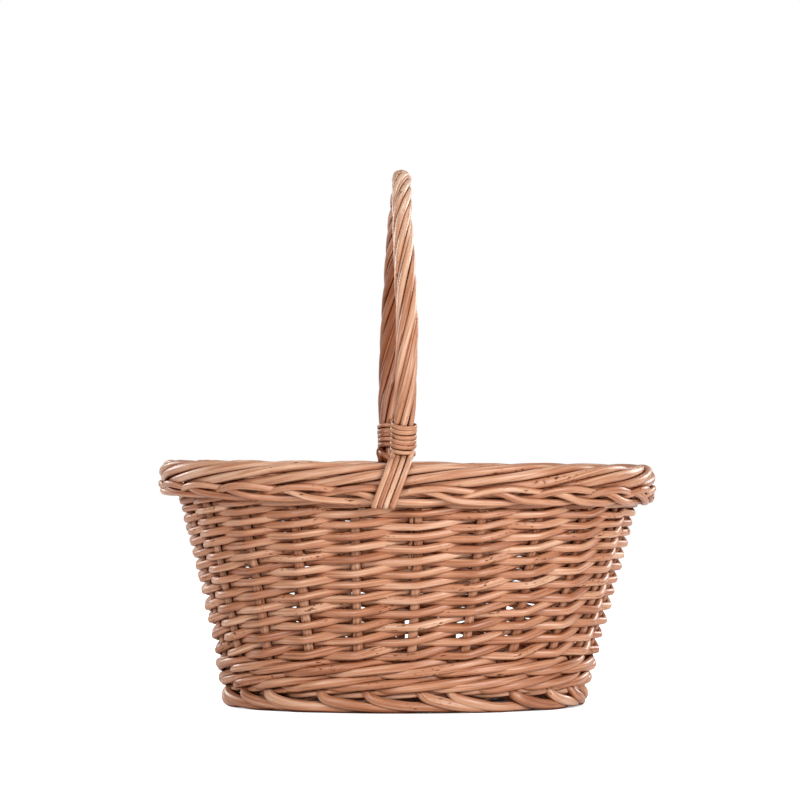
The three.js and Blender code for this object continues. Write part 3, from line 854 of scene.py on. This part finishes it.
class BASKET_OT_handle_bow(bpy.types.Operator):
    """Bend the handle's bow and push its points down beside the centre stakes"""

    bl_idname = "basket.handle_bow"
    bl_label = "Handle bow"

    tip = 0.0028
    tip_depth = 0.040
    end_gap = 0.006
    press = 1.04

    def execute(self, context):
        s, wall, rods = sizes(), Wall(sizes()), RodMesh(seed=18)
        arch = Arch(s, wall)
        left = s.stake / 2 + wall.clearance + self.tip / 2
        top = wall.trac_bottom
        keys = [(0, top - self.tip_depth), (0, top - 0.6 * self.tip_depth), (0, top),
                (-arch.inset, wall.roll_height - wall.roll_reach), (-arch.inset, wall.roll_height)]
        line = along_keys(keys, 30)
        front = wall.beside_centre(-1, left, line[:, 0], line[:, 1], line[:, 1])[0]
        back = wall.beside_centre(1, left, line[:, 0], line[:, 1], line[:, 1])[0]
        run = np.linspace(self.end_gap, arch.length - self.end_gap, 90)
        bow = arch.at(run)[0]
        points = np.vstack((front, bow, back[::-1]))
        core = 2 * (arch.ring - s.roping_rod / 2) * self.press
        tip = np.full(len(line), self.tip)
        size = np.concatenate((tip, core * arch.slim(run), tip))
        facing = np.tile((1.0, 0.0, 0.0), (len(points), 1))
        rods.bend(points, facing, size, size)
        rods.piece("bow_rod", "handle_willow", ["handle_bow"])
        return {"FINISHED"}


class BASKET_OT_roping(bpy.types.Operator):
    """Wind the roping rods round the bow and tie their tails down over the border"""

    bl_idname = "basket.roping"
    bl_label = "Roping"

    end_gap = 0.009
    tails = 4
    tail_lanes = (-0.0068, -0.0036, -0.0002, 0.0036)
    tail_top = 0.0065
    tail_inset = 0.0008
    tail_pinch = 0.004
    slant = 0.0113
    back_shift = 0.0036
    shares = (1.2, 1.2, 0.4, 1.2) * 2  # of the way round the bow, in rods
    slender = 0.6
    sink = 0.0008
    crown_twist = 0.08
    crown_reach = 0.10
    # Places from front to back, and how much paler a rod is there: painted light on the front leg and
    # crown, painted shade on the back leg
    painted_light_and_shade = ((-0.09, -0.03, 0.01, 0.08), (0.30, 0.85, 0.85, -0.6))

    def tail_line(self, wall, lane, side, rod):
        spread = self.tail_lanes[lane]
        reach = wall.roll_reach + rod / 2
        angle = np.radians(np.linspace(105, 0, 7))
        out = np.concatenate((
            (-self.tail_inset,), wall.roll_offset + reach * np.cos(angle),
            (wall.roll_edge + rod * 0.40, wall.roll_edge + rod * 0.05)))
        top = wall.body_height + self.tail_top
        z = np.concatenate((
            (top,), wall.roll_height + reach * np.sin(angle),
            (wall.trac_bottom + self.tail_pinch, wall.trac_bottom - rod * 0.3)))
        drop = (top - z) / (top - wall.trac_bottom)
        shift = self.back_shift if side > 0 else 0
        left = Arch.offset - spread - side * self.slant * drop - shift
        return wall.beside_centre(side, left, out, z, wall.roll_height)

    def execute(self, context):
        s, wall = sizes(), Wall(sizes())
        arch = Arch(s, wall)
        middles = np.cumsum(self.shares) - np.array(self.shares) / 2
        for index in range(arch.rods):
            rods = RodMesh(seed=300 + index)
            side = -1 if index < self.tails else 1
            run = np.linspace(self.end_gap, arch.length - self.end_gap, 140)
            start = 2 * math.pi * (middles[index] - self.tails / 2) / arch.rods
            share = run / arch.length
            crown = 0.5 + 0.5 * np.tanh((share - 0.5) / self.crown_reach)
            wound = share + self.crown_twist * (crown - share)
            turn = start + 2 * math.pi * s.roping_turns * wound + wander(rods.rng, run * 20, 0.05)
            slim = arch.slim(run)
            stout = max(self.shares[index], self.slender)
            sink = self.sink if stout < 1 else 0
            radius = arch.ring * slim - sink + wander(rods.rng, run * 25, 0.00012)
            winding, facing = arch.around(run, radius, turn)
            if side < 0:
                winding, facing = winding[::-1], facing[::-1]
            keys, tail_facing = self.tail_line(wall, index % self.tails, side, s.roping_rod)
            tail = along_keys(np.vstack((winding[-1:], keys)), 36)[1:]
            tail_facing = along_keys(np.vstack((facing[-1:], tail_facing)), 36)[1:]
            points = np.vstack((winding, tail))
            facing = np.vstack((facing, tail_facing))
            size = s.roping_rod * (1 + wander(rods.rng, np.linspace(0, 12, len(points)), 0.05))
            place = np.arange(len(points))
            join = (len(winding) - 10, len(winding) + 6)
            width = np.interp(place, join, (stout, 0.96))
            thick = np.interp(place, join, (1.04, 0.9))
            width[:len(winding)] *= slim
            thick[:len(winding)] *= slim
            # Painted light and shade: paler on the front leg and crown, darker on the back leg
            painted_light = np.interp(points[:, 1], *self.painted_light_and_shade)
            rods.bend(points, facing, size * thick, size * width, shade=painted_light)
            rods.piece(numbered("roping", index), "handle_willow", [numbered("roping_rod", index)])
        return {"FINISHED"}


class BASKET_OT_lapping(bpy.types.Operator):
    """Bind the handle's feet"""

    bl_idname = "basket.lapping"
    bl_label = "Lapping"

    # Name, CAD node, side and shade of each binding; the shade is painted light on the front binding and
    # painted shade on the back one
    feet = (("front_binding", "front_lapping", -1, 0.25), ("back_binding", "back_lapping", 1, -0.3))
    thickness = 0.0014
    start = 0.0050
    pitch = 1.05
    dip = 0.007
    dip_turns = 0.45
    end_flare = 0.15

    def execute(self, context):
        s, wall = sizes(), Wall(sizes())
        arch = Arch(s, wall)
        for name, node, side, shade in self.feet:
            rods = RodMesh(seed=400 + side)
            turns = np.linspace(0, s.lapping_turns, TURN_STEPS * s.lapping_turns)
            ending = np.maximum(0, 1 - turns / self.dip_turns)
            run = self.start + s.lapping_width * self.pitch * turns - self.dip * ending**2
            run = run + wander(rods.rng, 2 * turns, 0.0004)
            run = run if side < 0 else arch.length - run
            radius = arch.reach + self.thickness / 2 + wander(rods.rng, 5 * turns, 0.00015)
            points, facing = arch.around(run, radius, math.pi + side * 2 * math.pi * turns)
            width = s.lapping_width * (1 + self.end_flare * ending + wander(rods.rng, 3 * turns, 0.08))
            rods.bend(points, facing, self.thickness, width, sides=12, shade=shade)
            rods.piece(name, "handle_willow", [node])
        return {"FINISHED"}


class BASKET_OT_stage(bpy.types.Operator):
    """Set the floor, the light and the camera"""

    bl_idname = "basket.stage"
    bl_label = "Stage"

    floor_size = 12.0
    floor_glow = 0.75
    floor_fade = (0.86, 0.98)  # where the glow sets in, as shares of the foot
    room_light = 0.26
    lamp_aim = (0, 0, 0.12)
    # Name, place, watts, width, height
    lamps = (
        ("left_light", (-1.5, -2.1, 0.95), 31, 1.1, 0.8),
        ("right_light", (1.6, -2.0, 0.85), 54, 1.0, 0.8),
        ("top_light", (0.3, 0.5, 2.3), 14, 1.2, 0.9),
        ("back_left_light", (-1.75, 1.75, 1.0), 24, 1.0, 0.8),
        ("back_right_light", (1.85, 1.6, 1.0), 28, 1.0, 0.8),
    )

    def floor(self):
        bm = bmesh.new()
        bmesh.ops.create_grid(bm, x_segments=2, y_segments=2, size=self.floor_size / 2)
        mesh = bpy.data.meshes.new("floor")
        bm.to_mesh(mesh)
        bm.free()
        material = bpy.data.materials.new("floor_white")
        material.use_nodes = True
        tree = material.node_tree
        paper = tree.nodes["Principled BSDF"]
        paper.inputs["Base Color"].default_value = (0.92, 0.92, 0.92, 1)
        paper.inputs["Roughness"].default_value = 0.9
        paper.inputs["Specular IOR Level"].default_value = 0.0
        glow = new_node(tree, "ShaderNodeEmission")
        seen = new_node(tree, "ShaderNodeLightPath").outputs["Is Camera Ray"]
        middle = new_node(tree, "ShaderNodeVectorMath", operation="DIVIDE")
        middle.inputs[1].default_value = (FOOT_HIGH.x, FOOT_HIGH.y, 1)
        tree.links.new(new_node(tree, "ShaderNodeTexCoord").outputs["Object"], middle.inputs[0])
        length = new_node(tree, "ShaderNodeVectorMath", operation="LENGTH")
        tree.links.new(middle.outputs["Vector"], length.inputs[0])
        open_floor = remap(tree, length.outputs["Value"], *self.floor_fade, 0.0, self.floor_glow)
        tree.links.new(combine(tree, "MULTIPLY", seen, open_floor), glow.inputs["Strength"])
        both = new_node(tree, "ShaderNodeAddShader")
        tree.links.new(paper.outputs[0], both.inputs[0])
        tree.links.new(glow.outputs[0], both.inputs[1])
        tree.links.new(both.outputs[0], tree.nodes["Material Output"].inputs["Surface"])
        mesh.materials.append(material)
        floor = add_object("floor", mesh)

    def sky(self):
        world = bpy.data.worlds.new("studio")
        bpy.context.scene.world = world
        world.use_nodes = True
        tree = world.node_tree
        tree.nodes.clear()
        output = new_node(tree, "ShaderNodeOutputWorld")
        room = new_node(tree, "ShaderNodeBackground", Color=(1.0, 0.99, 0.98, 1), Strength=self.room_light)
        white = new_node(tree, "ShaderNodeBackground", Color=(1, 1, 1, 1), Strength=1.0)
        seen = new_node(tree, "ShaderNodeLightPath").outputs["Is Camera Ray"]
        mix = new_node(tree, "ShaderNodeMixShader")
        tree.links.new(seen, mix.inputs[0])
        tree.links.new(room.outputs[0], mix.inputs[1])
        tree.links.new(white.outputs[0], mix.inputs[2])
        tree.links.new(mix.outputs[0], output.inputs["Surface"])

    def lamp(self, name, place, power, width, height):
        light = bpy.data.lights.new(name, "AREA")
        light.shape = "RECTANGLE"
        light.size = width
        light.size_y = height
        light.energy = power
        lamp = add_object(name, light)
        lamp.location = place
        away = Vector(self.lamp_aim) - Vector(place)
        lamp.rotation_euler = away.to_track_quat("-Z", "Y").to_euler()

    def camera(self):
        stage = bpy.context.scene.stage_settings
        data = bpy.data.cameras.new("camera")
        data.lens = stage.lens
        data.sensor_width = 36
        data.clip_end = 50
        camera = add_object("camera", data)
        aim = Vector(stage.aim)
        eye = aim + stage.distance * Vector((math.sin(stage.azimuth), -math.cos(stage.azimuth), 0))
        eye.z = stage.eye_height
        camera.location = eye
        camera.rotation_euler = (aim - eye).to_track_quat("-Z", "Y").to_euler()
        bpy.context.scene.camera = camera

    def execute(self, context):
        self.floor()
        self.sky()
        for lamp in self.lamps:
            self.lamp(*lamp)
        self.camera()
        context.scene.view_settings.view_transform = "Standard"
        return {"FINISHED"}


class BASKET_PT_sidebar(bpy.types.Panel):
    """Sizes, colours and steps of the basket"""

    bl_idname = "BASKET_PT_sidebar"
    bl_label = "Basket"
    bl_space_type = "VIEW_3D"
    bl_region_type = "UI"
    bl_category = "Basket"

    def draw(self, context):
        scene = context.scene
        for group in (scene.basket_sizes, scene.willow_colours, scene.stage_settings):
            box = self.layout.box()
            for name in group.__annotations__:
                box.prop(group, name)
        for step in STEPS:
            self.layout.operator(step.bl_idname)


STEPS = (
    BASKET_OT_base_slath,
    BASKET_OT_base_weave,
    BASKET_OT_foot_border,
    BASKET_OT_stakes,
    BASKET_OT_upsett,
    BASKET_OT_siding,
    BASKET_OT_trac,
    BASKET_OT_handle_bow,
    BASKET_OT_roping,
    BASKET_OT_lapping,
    BASKET_OT_stage,
)
CLASSES = (BasketSizes, WillowColours, StageSettings, *STEPS, BASKET_PT_sidebar)


def register():
    for each in CLASSES:
        bpy.utils.register_class(each)
    bpy.types.Scene.basket_sizes = PointerProperty(type=BasketSizes)
    bpy.types.Scene.willow_colours = PointerProperty(type=WillowColours)
    bpy.types.Scene.stage_settings = PointerProperty(type=StageSettings)


def unregister():
    del bpy.types.Scene.stage_settings
    del bpy.types.Scene.willow_colours
    del bpy.types.Scene.basket_sizes
    for each in reversed(CLASSES):
        bpy.utils.unregister_class(each)


def main():
    register()
    for step in STEPS:
        family, action = step.bl_idname.split(".")
        getattr(getattr(bpy.ops, family), action)()


if __name__ == "__main__":
    main()
